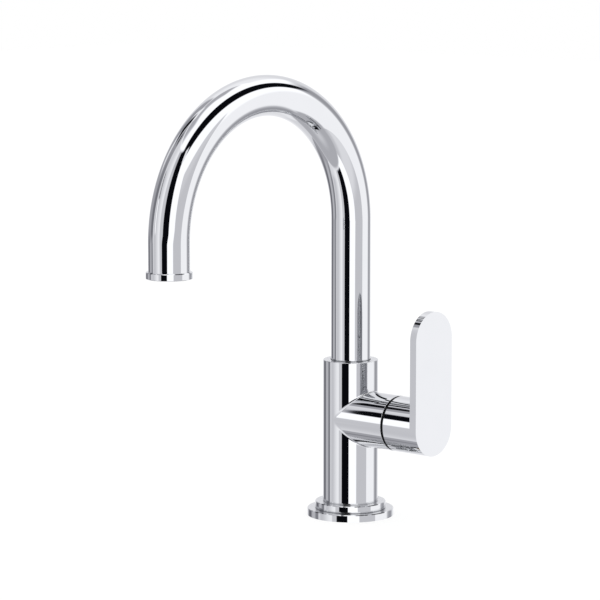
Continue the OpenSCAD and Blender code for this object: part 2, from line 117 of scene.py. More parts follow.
INSERT_X = 48
INSERT_R = 6.55
BOSS_R = 9.05
LEVER_SCREW_X = 53.25
LEVER_SCREW_R = 2.6
PLUG_HOLE_R = 3.05
PLUG_IN = 15.5
PLUG_R = 3
PLUG_END = 17.2
SEAM_RING_R = 16.9
SEAM_RING_T = 1.7
SEAL_GROOVE_IN = 17.8
SEAL_GROOVE_OUT = 25.2
SEAL_GROOVE_H = 1.5
INFLOW_X = -4
CROSSFLOW_R = 4
CROSSFLOW_START = -7
CROSSFLOW_END = 0.5
OUTFLOW_X = 8.2
AERATOR_LIP_H = 1
WEB_CENTRE = (53.5, 0, 52.0)
WEB_SIZE = (11, 9.05, 9.35)
THREAD_GAP = 0.1
LOOSE_GAP = 0.2

# Chamfers, in millimetres
RIM = 0.4
SEAM_RING_RIM = 0.2
OUTLET_RIM = 0.3
SHANK_LOW_CHAMFER = 0.8
SHANK_TOP_CHAMFER = 0.4
NUT_CHAMFER = 0.7

# Roundings, in millimetres
CREASE_ROUNDING = 0.9
EDGE_ROUNDING = 0.45
BARREL_END_ROUNDING = 0.15
NUT_ROUNDING = 0.4
RUBBER_ROUNDING = 0.5
STEEL_ROUNDING = 0.3
PLUG_ROUNDING = 0.3

# Steps round a circle, steps of the tube's half turn and cuts along the paddle's sides
ROUND = 192
WIDE_ROUND = 256
OUTLET_ROUND = 224
TUBE_ROUND = 128
TRIM_ROUND = 144
THREAD_ROUND = 48
BEND_STEPS = 144
SIDE_CUTS = 6

# Millimetres within which corners are welded, lie on a cutting plane or count as in place
WELD = 0.0002
ON_PLANE = 0.0001
NEAR = 0.001


# Shapes

def turned(profile, steps=ROUND, centre=(0, 0, 0), along="Z"):
    """Spins a closed outline of (radius, height) points into a ring about the piece's axis."""
    shape = bmesh.new()
    points = [shape.verts.new((r, 0, z)) for r, z in profile]
    edges = [shape.edges.new(pair) for pair in zip(points, points[1:] + points[:1])]
    bmesh.ops.spin(shape, geom=points + edges, cent=(0, 0, 0), axis=(0, 0, 1),
                   angle=2 * math.pi, steps=steps, use_merge=True, use_duplicate=False)
    bmesh.ops.remove_doubles(shape, verts=shape.verts, dist=WELD)
    if along == "X":
        bmesh.ops.rotate(shape, cent=(0, 0, 0), verts=shape.verts,
                         matrix=Matrix.Rotation(math.radians(90), 3, "Y"))
    bmesh.ops.translate(shape, vec=centre, verts=shape.verts)
    bmesh.ops.recalc_face_normals(shape, faces=shape.faces)
    return shape


def rod(radius, start, end, segments=96):
    """A plain solid cylinder between two points, for cutting holes and joining bosses."""
    start, end = Vector(start), Vector(end)
    line = end - start
    turn = Vector((0, 0, 1)).rotation_difference(line).to_matrix().to_4x4()
    place = Matrix.Translation((start + end) / 2) @ turn
    shape = bmesh.new()
    bmesh.ops.create_cone(shape, cap_ends=True, segments=segments, radius1=radius,
                          radius2=radius, depth=line.length, matrix=place)
    return shape


def join(first, second):
    """Puts the second shape's faces into the first shape."""
    carrier = bpy.data.meshes.new("carrier")
    second.to_mesh(carrier)
    second.free()
    first.from_mesh(carrier)
    bpy.data.meshes.remove(carrier)
    return first


def combine(shape, tools, operation="DIFFERENCE"):
    """Cuts solid tools out of a solid shape, adds them to it or keeps what lies inside them."""
    def holder(name, source):
        mesh = bpy.data.meshes.new(name)
        source.to_mesh(mesh)
        source.free()
        made = bpy.data.objects.new(name, mesh)
        scene.collection.objects.link(made)
        return made

    work = holder("work", shape)
    held = [holder("tool", tool) for tool in tools]
    for tool in held:
        step = work.modifiers.new("cut", "BOOLEAN")
        step.object = tool
        step.operation = operation
        step.solver = "EXACT"
    bpy.context.view_layer.update()
    result = bmesh.new()
    result.from_object(work, bpy.context.evaluated_depsgraph_get())
    for spare in [work] + held:
        mesh = spare.data
        bpy.data.objects.remove(spare)
        bpy.data.meshes.remove(mesh)
    bmesh.ops.remove_doubles(result, verts=result.verts, dist=WELD)
    return result


def edges_where(shape, test):
    """The edges whose two ends both pass a test."""
    return [edge for edge in shape.edges if all(test(v.co) for v in edge.verts)]


def soften(shape, edges, width, segments=3):
    """Rounds the given edges."""
    bmesh.ops.bevel(shape, geom=edges, offset=width, offset_type="OFFSET", segments=segments,
                    profile=0.5, affect="EDGES", material=-1, clamp_overlap=True,
                    loop_slide=True)


def finished(name, shape, body, finish, stands_for=(), sharp=35):
    """Makes a shape that was drawn in millimetres a piece in metres, riding on its body."""
    bmesh.ops.scale(shape, vec=(0.001, 0.001, 0.001), verts=shape.verts)
    mesh = bpy.data.meshes.new(name)
    shape.to_mesh(mesh)
    shape.free()
    mesh.shade_smooth()
    mesh.set_sharp_from_angle(angle=math.radians(sharp))
    mesh.materials.append(finish)
    piece = bpy.data.objects.new(name, mesh)
    scene.collection.objects.link(piece)
    true_faces = piece.modifiers.new("true_faces", "WEIGHTED_NORMAL")
    true_faces.keep_sharp = True
    true_faces.weight = 50
    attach(piece, body)
    if stands_for:
        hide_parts(*stands_for)
    return piece


# Materials

class Field:
    """A number that changes over a surface, which takes part in sums as a plain number does."""

    def __init__(self, recipe, socket):
        self.recipe = recipe
        self.socket = socket

    def maths(self, operation, *others):
        values = dict(enumerate((self,) + others))
        return Field(self.recipe, self.recipe.add("Math", {"operation": operation}, values))

    def __add__(self, other):
        return self.maths("ADD", other)

    __radd__ = __add__

    def __mul__(self, other):
        return self.maths("MULTIPLY", other)

    __rmul__ = __mul__

    def __sub__(self, other):
        return self.maths("SUBTRACT", other)

    def __rsub__(self, other):
        return -1 * self + other

    def band(self, start, end):
        """Rises from 0 to 1 between two values, with soft ends."""
        values = {"Value": self, "From Min": start, "From Max": end}
        return Field(self.recipe, self.recipe.add(
            "MapRange", {"interpolation_type": "SMOOTHSTEP", "clamp": True}, values))


class Recipe:
    """The node tree of one material or of the studio."""

    def __init__(self, tree):
        self.tree = tree
        tree.nodes.clear()

    def node(self, kind, settings=None, values=None):
        made = self.tree.nodes.new("ShaderNode" + kind)
        for key, setting in (settings or {}).items():
            setattr(made, key, setting)
        for key, value in (values or {}).items():
            value = value.socket if isinstance(value, Field) else value
            if isinstance(value, bpy.types.NodeSocket):
                self.tree.links.new(value, made.inputs[key])
            else:
                made.inputs[key].default_value = value
        return made

    def add(self, kind, settings=None, values=None, output=0):
        return self.node(kind, settings, values).outputs[output]

    def field(self, kind, settings=None, values=None, output=0):
        return Field(self, self.add(kind, settings, values, output))

    def place(self, scale=(1, 1, 1)):
        """The piece's own coordinates, stretched for a pattern."""
        own = self.add("TexCoord", output="Object")
        return self.add("Mapping", values={"Vector": own, "Scale": scale})

    def colour_between(self, amount, low, high):
        low, high = (end if isinstance(end, bpy.types.NodeSocket) else tuple(end) + (1,)
                     for end in (low, high))
        return self.add("Mix", {"data_type": "RGBA"}, {"Factor": amount, 6: low, 7: high},
                        output=2)

    def noise(self, where, scale, detail=2, roughness=0.5):
        return self.field("TexNoise", values={"Vector": where, "Scale": scale, "Detail": detail,
                                              "Roughness": roughness}, output="Fac")

    def bump(self, height, strength, distance):
        return self.add("Bump", values={"Height": height, "Strength": strength,
                                        "Distance": distance})


def surface(name, metallic=0.0, **fixed):
    """A new material with a Principled surface and the sockets that are the same all over."""
    material = bpy.data.materials.new(name)
    material.use_nodes = True
    recipe = Recipe(material.node_tree)
    shader = recipe.node("BsdfPrincipled", values={"Metallic": metallic})
    for socket, value in fixed.items():
        shader.inputs[socket.replace("_", " ")].default_value = value
    recipe.node("OutputMaterial", values={"Surface": shader.outputs[0]})
    return material, recipe, shader


def connect(recipe, shader, socket, value):
    recipe.tree.links.new(value.socket if isinstance(value, Field) else value,
                          shader.inputs[socket])


CHROME_LOW = (0.664, 0.672, 0.688)
CHROME_HIGH = (0.688, 0.694, 0.708)
# Colour of the painted shade line at the foot of each step, standing in for the seam's shadow
PAINTED_SEAM_SHADE = (0.10, 0.105, 0.12)


def polished_chrome(name, steps=()):
    """Mirror plating. Each step is a height in millimetres: there the flat top is finely turned
    and what stands on it has a thin painted shade line at its foot, standing in for the shadow in
    the seam, as strong as the step says."""
    material, recipe, shader = surface(name, metallic=1.0)
    own = recipe.place()
    haze = recipe.noise(own, 45, detail=3)
    wipes = recipe.noise(recipe.place(scale=(1, 1, 0.12)), 420, detail=4, roughness=0.6)
    colour = recipe.colour_between(haze, CHROME_LOW, CHROME_HIGH)
    rough = 0.012 + haze * 0.008 + wipes.band(0.55, 0.8) * 0.006
    if steps:
        up = recipe.field("SeparateXYZ", values={"Vector": own}, output="Z") * 1000
        for level, strength in steps:
            top = up.band(level - 0.04, level - 0.02) * (1 - up.band(level + 0.02, level + 0.04))
            # Painted shade: a thin dark band just above each step, where the seam lies in shadow
            foot = up.band(level + 0.02, level + 0.06) * (1 - up.band(level + 0.3, level + 0.5))
            colour = recipe.colour_between(foot * strength, colour, PAINTED_SEAM_SHADE)
            rough = rough + top * 0.22 + foot * 0.25
    connect(recipe, shader, "Base Color", colour)
    connect(recipe, shader, "Roughness", rough)
    connect(recipe, shader, "Normal", recipe.bump(wipes, 0.006, 0.00002))
    return material


def turned_metal(name, low, high, rough, pitch):
    """Bare machined metal with fine rings left by the tool and a little stain."""
    material, recipe, shader = surface(name, metallic=1.0)
    own = recipe.place()
    rings = recipe.field("TexWave", {"wave_type": "RINGS", "rings_direction": "SPHERICAL"},
                         {"Vector": own, "Scale": pitch, "Distortion": 0.4, "Detail": 2,
                          "Detail Scale": 2}, output="Fac")
    stain = recipe.noise(own, 90, detail=4)
    grain = recipe.noise(recipe.place(scale=(1, 1, 3)), 900, detail=3)
    connect(recipe, shader, "Base Color", recipe.colour_between(
        stain * 0.7 + grain * 0.3, low, high))
    connect(recipe, shader, "Roughness", rough + stain * 0.10 + grain * 0.06)
    connect(recipe, shader, "Normal", recipe.bump(rings * 0.5 + grain * 0.5, 0.25, 0.00003))
    return material


def moulded(name, low, high, rough, grain_size=1400, relief=0.00002, **fixed):
    """Moulded rubber or plastic with a fine even grain and slight colour drift."""
    material, recipe, shader = surface(name, **fixed)
    own = recipe.place()
    drift = recipe.noise(own, 60, detail=3)
    grain = recipe.noise(own, grain_size, detail=2)
    connect(recipe, shader, "Base Color", recipe.colour_between(drift, low, high))
    connect(recipe, shader, "Roughness", rough + drift * 0.06 + grain * 0.05)
    connect(recipe, shader, "Normal", recipe.bump(grain, 0.3, relief))
    return material


CHROME = polished_chrome("polished_chrome")
# Chrome with painted shade lines where the foot ring meets the flange, the column meets the foot
# ring and the tube enters the column
SEAM_SHADED_CHROME = polished_chrome("seam_shaded_chrome", [(FLANGE_H, 0.9), (COLUMN_FOOT, 0.45),
                                                    (COLUMN_TOP, 0.7)])
BRASS = turned_metal("turned_brass", (0.66, 0.48, 0.21), (0.80, 0.63, 0.34), 0.24, 900)
STEEL = turned_metal("bare_steel", (0.52, 0.52, 0.51), (0.68, 0.68, 0.67), 0.26, 1100)
BLACK_RUBBER = moulded("black_rubber", (0.022, 0.022, 0.024), (0.040, 0.040, 0.042), 0.62,
                       relief=0.00005)
BLACK_PLASTIC = moulded("black_plastic", (0.003, 0.003, 0.004), (0.006, 0.006, 0.007), 0.55,
                        Specular_IOR_Level=0.1)
WHITE_PLASTIC = moulded("white_plastic", (0.76, 0.76, 0.74), (0.85, 0.85, 0.83), 0.30)
GREY_PLASTIC = moulded("grey_plastic", (0.44, 0.45, 0.46), (0.54, 0.55, 0.56), 0.30)
CERAMIC = moulded("lapped_ceramic", (0.83, 0.82, 0.78), (0.90, 0.89, 0.86), 0.16,
                  grain_size=3000, relief=0.00001)
FINISHES = {"chrome": CHROME, "brass": BRASS, "steel": STEEL, "black_rubber": BLACK_RUBBER,
            "black_plastic": BLACK_PLASTIC, "white_plastic": WHITE_PLASTIC,
            "grey_plastic": GREY_PLASTIC, "ceramic": CERAMIC}


# Pieces of the faucet

def make_flange():
    outline = [(RING_BORE_R, 0), (SEAL_GROOVE_IN, 0), (SEAL_GROOVE_IN, SEAL_GROOVE_H),
               (SEAL_GROOVE_OUT, SEAL_GROOVE_H), (SEAL_GROOVE_OUT, 0), (FLANGE_R, 0),
               (FLANGE_R, FLANGE_H - RIM), (FLANGE_R - RIM, FLANGE_H), (RING_BORE_R, FLANGE_H)]
    finished("flange_piece", turned(outline, WIDE_ROUND), "body", SEAM_SHADED_CHROME,
             ["flange"])


def make_foot_ring():
    outline = [(RING_BORE_R, FLANGE_H), (FOOT_R, FLANGE_H), (FOOT_R, COLUMN_FOOT - RIM),
               (FOOT_R - RIM, COLUMN_FOOT), (RING_BORE_R, COLUMN_FOOT)]
    finished("foot_ring_piece", turned(outline, WIDE_ROUND), "body", SEAM_SHADED_CHROME,
             ["foot_ring"])


def make_body():
    """Column and barrel, each trimmed at the two planes in which they meet, then bored."""
    shape = bmesh.new()
    height = COLUMN_TOP - COLUMN_FOOT
    bmesh.ops.create_cone(
        shape, cap_ends=True, segments=ROUND, radius1=COLUMN_R, radius2=COLUMN_R, depth=height,
        matrix=Matrix.Translation((0, 0, COLUMN_FOOT + height / 2)))
    front = [f for f in shape.faces if f.calc_center_median().x > NEAR]
    for tilt in (-1, 1):
        region = {e for f in front if f.is_valid for e in f.edges}
        region |= {v for e in region for v in e.verts}
        cut = bmesh.ops.bisect_plane(shape, geom=front + list(region), dist=ON_PLANE,
                                     plane_co=(0, 0, AXIS_Z), plane_no=(1, 0, tilt))
        front = [f for f in cut["geom"] if isinstance(f, bmesh.types.BMFace)]
    wedge = [f for f in shape.faces
             if f.calc_center_median().x > abs(f.calc_center_median().z - AXIS_Z) + NEAR]
    bmesh.ops.delete(shape, geom=wedge, context="FACES")

    barrel = rod(COLUMN_R, (0, 0, AXIS_Z), (BARREL_END, 0, AXIS_Z), segments=ROUND)
    for tilt in (-1, 1):
        bmesh.ops.bisect_plane(barrel, geom=barrel.verts[:] + barrel.edges[:] + barrel.faces[:],
                               dist=ON_PLANE, plane_co=(0, 0, AXIS_Z), plane_no=(1, 0, tilt))
    inside = [f for f in barrel.faces
              if f.calc_center_median().x < abs(f.calc_center_median().z - AXIS_Z) - NEAR]
    bmesh.ops.delete(barrel, geom=inside, context="FACES")
    join(shape, barrel)
    bmesh.ops.remove_doubles(shape, verts=shape.verts, dist=NEAR)
    bmesh.ops.recalc_face_normals(shape, faces=shape.faces)

    crease_reach = COLUMN_R - 0.05

    def on_crease(p):
        return (p.x > -NEAR and abs(p.x - abs(p.z - AXIS_Z)) < NEAR
                and abs(p.y) < crease_reach)

    soften(shape, edges_where(shape, on_crease), CREASE_ROUNDING, segments=5)
    soften(shape, edges_where(shape, lambda p: p.z > COLUMN_TOP - NEAR), EDGE_ROUNDING)
    soften(shape, edges_where(shape, lambda p: p.x > BARREL_END - NEAR), BARREL_END_ROUNDING)
    # Each rod starts or ends beyond the face that it opens, or inside the hole that it meets
    beyond = 60
    holes = [
        rod(SOCKET_R, (0, 0, SOCKET_FLOOR), (0, 0, COLUMN_TOP + 5), segments=128),
        rod(SHANK_HOLE_R, (0, 0, COLUMN_FOOT - 5), (0, 0, SHANK_TOP)),
        rod(INLET_R, (0, 0, SHANK_TOP - 1), (0, 0, INLET_TOP), segments=48),
        rod(VALVE_BORE_R, (0, 0, AXIS_Z), (beyond, 0, AXIS_Z)),
        rod(COUNTERBORE_R, (COUNTERBORE_X, 0, AXIS_Z), (beyond, 0, AXIS_Z)),
        rod(PASSAGE_R, (INFLOW_X, 0, INLET_TOP - 2), (INFLOW_X, 0, AXIS_Z), segments=32),
        rod(CROSSFLOW_R, (CROSSFLOW_START, 0, AXIS_Z), (CROSSFLOW_END, 0, AXIS_Z), segments=32),
        rod(PASSAGE_R, (OUTFLOW_X, 0, AXIS_Z), (OUTFLOW_X, 0, SOCKET_FLOOR + 0.5), segments=32),
        rod(HOLD_R, (0, 2, HOLD_Z), (0, COLUMN_R + 2.5, HOLD_Z), segments=48),
    ]
    shape = combine(shape, holes)
    finished("body_piece", shape, "body", SEAM_SHADED_CHROME, ["body"])


def make_spout_tube():
    """Outer face of the tube, drawn from its foot along the bend, then given a wall."""
    shape = bmesh.new()
    bmesh.ops.create_circle(shape, cap_ends=False, segments=TUBE_ROUND, radius=TUBE_R,
                            matrix=Matrix.Translation((0, 0, TUBE_END)))

    def straight(edges, length):
        made = bmesh.ops.extrude_edge_only(shape, edges=edges)["geom"]
        bmesh.ops.translate(shape, vec=(0, 0, length),
                            verts=[v for v in made if isinstance(v, bmesh.types.BMVert)])

    straight(shape.edges[:], ARCH_Z - TUBE_END)
    edges = edges_where(shape, lambda p: p.z > ARCH_Z - NEAR)
    corners = {v for e in edges for v in e.verts}
    turn = bmesh.ops.spin(shape, geom=edges + list(corners), cent=(0, -BEND_R, ARCH_Z),
                          axis=(1, 0, 0), angle=math.radians(180), steps=BEND_STEPS,
                          use_merge=False, use_duplicate=False)
    straight([e for e in turn["geom_last"] if isinstance(e, bmesh.types.BMEdge)],
             OUTLET_TOP - ARCH_Z)
    bmesh.ops.recalc_face_normals(shape, faces=shape.faces)
    bmesh.ops.solidify(shape, geom=shape.faces[:], thickness=TUBE_R - TUBE_IN)
    finished("spout_tube_piece", shape, "spout", SEAM_SHADED_CHROME, ["spout_tube"])


def make_outlet_ring():
    lip_top = OUTLET_Z + AERATOR_LIP_H
    outline = [(AERATOR_LIP_R, OUTLET_Z), (OUTLET_R - OUTLET_RIM, OUTLET_Z),
               (OUTLET_R, OUTLET_Z + OUTLET_RIM), (OUTLET_R, OUTLET_TOP - RIM),
               (OUTLET_R - RIM, OUTLET_TOP), (OUTLET_THREAD_R, OUTLET_TOP),
               (OUTLET_THREAD_R, OUTLET_THREAD_TOP), (AERATOR_R, OUTLET_THREAD_TOP),
               (AERATOR_R, lip_top), (AERATOR_LIP_R, lip_top)]
    shape = turned(outline, OUTLET_ROUND, centre=(0, -2 * BEND_R, 0))
    finished("outlet_ring_piece", shape, "spout", CHROME, ["outlet_ring"])


def make_barrel_ring():
    # A real glide ring in the seam between barrel and hub; its near-black also stands in for the
    # painted shade of the gap
    bore, rim = COUNTERBORE_R + LOOSE_GAP, SEAM_RING_RIM
    outline = [(bore, 0), (SEAM_RING_R - rim, 0), (SEAM_RING_R, rim),
               (SEAM_RING_R, SEAM_RING_T - rim), (SEAM_RING_R - rim, SEAM_RING_T),
               (bore, SEAM_RING_T)]
    shape = turned(outline, centre=(BARREL_END, 0, AXIS_Z), along="X")
    finished("barrel_ring_piece", shape, "body", BLACK_PLASTIC, ["barrel_ring"])


def make_lever():
    """Paddle and hub in one casting, with the hub's hollow, boss and web."""
    shape = bmesh.new()
    half_round = ROUND // 2
    step = 180 / half_round
    # Outline of the paddle: half a turn below the hub's axis, two sides, half a turn at the top
    first = shape.verts.new((PADDLE_X, -COLUMN_R, AXIS_Z))
    low = bmesh.ops.spin(shape, geom=[first], cent=(0, 0, AXIS_Z), axis=(1, 0, 0),
                         angle=math.radians(180), steps=half_round)["geom_last"][0]
    side = bmesh.ops.extrude_vert_indiv(shape, verts=[low])["verts"][0]
    top = AXIS_Z + PADDLE_UP - COLUMN_R
    side.co.z = top
    bmesh.ops.spin(shape, geom=[side], cent=(0, 0, top), axis=(1, 0, 0),
                   angle=math.radians(180), steps=half_round)
    ends = [v for v in shape.verts if len(v.link_edges) == 1]
    bmesh.ops.contextual_create(shape, geom=ends)
    sides = [e for e in shape.edges if e.calc_length() > COLUMN_R]
    bmesh.ops.subdivide_edges(shape, edges=sides, cuts=SIDE_CUTS)
    bmesh.ops.contextual_create(shape, geom=shape.edges[:])
    back = shape.faces[:][0]
    front = bmesh.ops.extrude_face_region(shape, geom=[back])["geom"]
    front = [g for g in front if isinstance(g, bmesh.types.BMFace)]
    bmesh.ops.translate(shape, vec=(PADDLE_T, 0, 0), verts=front[0].verts)
    # Above the hub the outline of the paddle's back is a little narrower, as a casting's is
    drafted = AXIS_Z + COLUMN_R / 2
    draft = 1 - PADDLE_DRAFT / COLUMN_R
    back_upper = [v for v in shape.verts if v.co.x < PADDLE_X + NEAR and v.co.z > drafted]
    bmesh.ops.scale(shape, vec=(1, draft, 1), verts=back_upper)
    bmesh.ops.recalc_face_normals(shape, faces=shape.faces)

    # Hub: the back face is split along the hub's upper half and its disc drawn out
    back = next(f for f in shape.faces if f.normal.x < -0.9)
    by_place = {(round(v.co.y, 3), round(v.co.z, 3)): v for v in back.verts}
    left, right = (by_place[(side * COLUMN_R, AXIS_Z)] for side in (-1, 1))
    arc = [Vector((PADDLE_X, -COLUMN_R * math.cos(math.radians(step * i)),
                   AXIS_Z + COLUMN_R * math.sin(math.radians(step * i))))
           for i in range(1, half_round)]
    bmesh.utils.face_split(back, left, right, coords=arc)
    disc = min((f for f in shape.faces if f.normal.x < -0.9),
               key=lambda f: f.calc_center_median().z)
    hub = bmesh.ops.extrude_face_region(shape, geom=[disc])["geom"]
    bmesh.ops.delete(shape, geom=[disc], context="FACES_ONLY")
    hub_end = next(g for g in hub if isinstance(g, bmesh.types.BMFace))
    bmesh.ops.translate(shape, vec=(HUB_X - PADDLE_X, 0, 0), verts=hub_end.verts)

    def front_rim(p):
        return p.x > PADDLE_X + PADDLE_T - NEAR

    def back_rim(p):
        above = p.z > AXIS_Z - NEAR
        half = COLUMN_R - (PADDLE_DRAFT if p.z > drafted else 0)
        outside = abs(p.y) > half - NEAR or p.z > top - NEAR
        return abs(p.x - PADDLE_X) < NEAR and above and outside

    soften(shape, edges_where(shape, front_rim) + edges_where(shape, back_rim), EDGE_ROUNDING)
    shape = combine(shape, [
        rod(HUB_IN, (HUB_X - 5, 0, AXIS_Z), (CAVITY_END, 0, AXIS_Z), segments=128)])
    web = bmesh.new()
    bmesh.ops.create_cube(web, size=1, matrix=Matrix.Translation(WEB_CENTRE)
                          @ Matrix.Diagonal(WEB_SIZE + (1,)))
    shape = combine(shape, [
        rod(BOSS_R, (INSERT_X, 0, AXIS_Z), (CAVITY_END + 0.5, 0, AXIS_Z)), web], "UNION")
    below = (LEVER_SCREW_X, 0, AXIS_Z - COLUMN_R - 2)
    shape = combine(shape, [
        rod(INSERT_R, (INSERT_X - 5, 0, AXIS_Z), (CAVITY_END, 0, AXIS_Z), segments=64),
        rod(LEVER_SCREW_R, below, (LEVER_SCREW_X, 0, AXIS_Z), segments=48),
        rod(PLUG_HOLE_R, below, (LEVER_SCREW_X, 0, AXIS_Z - PLUG_IN), segments=48)])
    finished("lever_piece", shape, "lever", CHROME, ["lever"])


def make_shank():
    """Hollow threaded shank: a longer threaded rod is spun, then kept only inside its outline."""
    spare = 2
    turns = math.ceil((SHANK_TOP - SHANK_LOW) / THREAD_PITCH) + 2 * spare
    root = SHANK_R - THREAD_DEPTH
    shape = bmesh.new()
    tooth = [(SHANK_R, 0), (SHANK_R, CREST_END), (root, ROOT_START), (root, ROOT_END),
             (SHANK_R, THREAD_PITCH)]
    start = SHANK_LOW - spare * THREAD_PITCH
    points = [shape.verts.new((r, 0, start + z)) for r, z in tooth]
    edges = [shape.edges.new(pair) for pair in zip(points, points[1:])]
    bmesh.ops.spin(shape, geom=points + edges, cent=(0, 0, 0), axis=(0, 0, 1),
                   dvec=(0, 0, THREAD_PITCH / THREAD_ROUND), angle=2 * math.pi * turns,
                   steps=THREAD_ROUND * turns, use_merge=False, use_duplicate=False)
    bmesh.ops.remove_doubles(shape, verts=shape.verts, dist=NEAR)
    past_end = 0.3
    for level, side in ((SHANK_LOW - past_end, -1), (SHANK_TOP + past_end, 1)):
        bmesh.ops.bisect_plane(shape, geom=shape.verts[:] + shape.edges[:] + shape.faces[:],
                               dist=ON_PLANE, plane_co=(0, 0, level), plane_no=(0, 0, side),
                               clear_outer=True)
        rim = [e for e in shape.edges if e.is_boundary
               and all(abs(v.co.z - level) < NEAR for v in e.verts)]
        bmesh.ops.contextual_create(shape, geom=rim)
    bmesh.ops.recalc_face_normals(shape, faces=shape.faces)
    low, top, clear = SHANK_LOW_CHAMFER, SHANK_TOP_CHAMFER, SHANK_R + 0.01
    outline = [(SHANK_BORE_R, SHANK_LOW), (SHANK_R - low, SHANK_LOW), (clear, SHANK_LOW + low),
               (clear, SHANK_TOP - top), (SHANK_R - top, SHANK_TOP), (SHANK_BORE_R, SHANK_TOP)]
    shape = combine(shape, [turned(outline, TRIM_ROUND)], "INTERSECT")
    finished("shank_piece", shape, "body", BRASS, ["shank"])


def make_mounting_nut():
    """Six-sided nut, kept only inside a turned outline that chamfers its tips and bore."""
    shape = bmesh.new()
    height = NUT_TOP - NUT_LOW
    bmesh.ops.create_cone(
        shape, cap_ends=True, segments=6, radius1=NUT_TIP, radius2=NUT_TIP, depth=height,
        matrix=Matrix.Translation((0, 0, NUT_LOW + height / 2))
        @ Matrix.Rotation(math.radians(90), 4, "Z"))
    corners = [e for e in shape.edges if abs(e.verts[0].co.z - e.verts[1].co.z) > NEAR]
    soften(shape, corners, NUT_ROUNDING)
    bore, slope = SHANK_R + THREAD_GAP, (NUT_TIP - NUT_FLAT) / 2
    outline = [(bore, NUT_LOW + NUT_CHAMFER), (bore + NUT_CHAMFER, NUT_LOW), (NUT_FLAT, NUT_LOW),
               (NUT_TIP, NUT_LOW + slope), (NUT_TIP, NUT_TOP - slope), (NUT_FLAT, NUT_TOP),
               (bore + NUT_CHAMFER, NUT_TOP), (bore, NUT_TOP - NUT_CHAMFER)]
    shape = combine(shape, [turned(outline, TRIM_ROUND)], "INTERSECT")
    finished("mounting_nut_piece", shape, "body", BRASS, ["mounting_nut"])


def washer(top, low, rounding):
    """Flat washer with rounded outer edges."""
    shape = turned([(RING_BORE_R, low), (WASHER_R, low), (WASHER_R, top), (RING_BORE_R, top)])
    soften(shape, edges_where(shape, lambda p: Vector((p.x, p.y)).length > WASHER_R - NEAR
                              and min(abs(p.z - low), abs(p.z - top)) < NEAR), rounding)
    bmesh.ops.remove_doubles(shape, verts=shape.verts, dist=NEAR)
    return shape


def make_washers():
    finished("rubber_washer_piece", washer(RUBBER_TOP, STEEL_TOP, RUBBER_ROUNDING), "body",
             BLACK_RUBBER, ["rubber_washer"])
    finished("clamp_washer_piece", washer(STEEL_TOP, NUT_TOP, STEEL_ROUNDING), "body",
             STEEL, ["clamp_washer"])


def make_lever_plug():
    end = AXIS_Z - PLUG_END
    shape = rod(PLUG_R, (LEVER_SCREW_X, 0, end), (LEVER_SCREW_X, 0, AXIS_Z - PLUG_IN), segments=72)
    soften(shape, edges_where(shape, lambda p: p.z < end + NEAR), PLUG_ROUNDING, segments=4)
    finished("lever_plug_piece", shape, "lever", CHROME, ["lever_plug"])


make_flange()
make_foot_ring()
make_body()
make_spout_tube()
make_outlet_ring()
make_barrel_ring()
make_lever()
make_shank()
make_mounting_nut()
make_washers()
make_lever_plug()

# Every CAD node that still shows gets its own finish
slots = {row["node"]: row["material_slot"] for row in frame["record"]["subparts"]}
for name, node in frame["nodes"].items():
    for held in node.material_slots:
        held.material = FINISHES[slots[name]]


# Studio

FLOOR_REACH = 4        # metres to each side
FLOOR_GLOW = 0.7       # strength of the floor's own light
FLOOR_SHADED = 0.28    # share of paper in it, which takes the shadow
FLOOR_LIFT = 0.29      # light added to both


def white_floor():
    """Pale floor that keeps a faint shadow and isn't seen in polished metal."""
    shape = bmesh.new()
    bmesh.ops.create_grid(shape, x_segments=1, y_segments=1, size=FLOOR_REACH)
    mesh = bpy.data.meshes.new("floor")
    shape.to_mesh(mesh)
    shape.free()
    floor = bpy.data.objects.new("floor", mesh)
    scene.collection.objects.link(floor)
    material = bpy.data.materials.new("pale_floor")
    material.use_nodes = True
    recipe = Recipe(material.node_tree)
    paper = recipe.add("BsdfDiffuse", values={"Color": (0.9, 0.9, 0.9, 1)})
    glow = recipe.add("Emission", values={"Color": (1, 1, 1, 1), "Strength": FLOOR_GLOW})
    half = recipe.add("MixShader", values={"Fac": FLOOR_SHADED, 1: glow, 2: paper})
    both = recipe.add("AddShader", values={0: half, 1: recipe.add(
        "Emission", values={"Color": (1, 1, 1, 1), "Strength": FLOOR_LIFT})})
    path = recipe.node("LightPath")
    seen = recipe.add("MixShader", values={"Fac": path.outputs["Is Camera Ray"],
                                           1: paper, 2: both})
    clear = recipe.add("BsdfTransparent")
    mixed = recipe.add("MixShader", values={"Fac": path.outputs["Is Glossy Ray"],
                                            1: seen, 2: clear})
    recipe.node("OutputMaterial", values={"Surface": mixed})
    mesh.materials.append(material)


def grey(value):
    """Linear strength of a display grey."""
    shade = value / 255
    return ((shade + 0.055) / 1.055) ** 2.4 if shade > 0.04045 else shade / 12.92


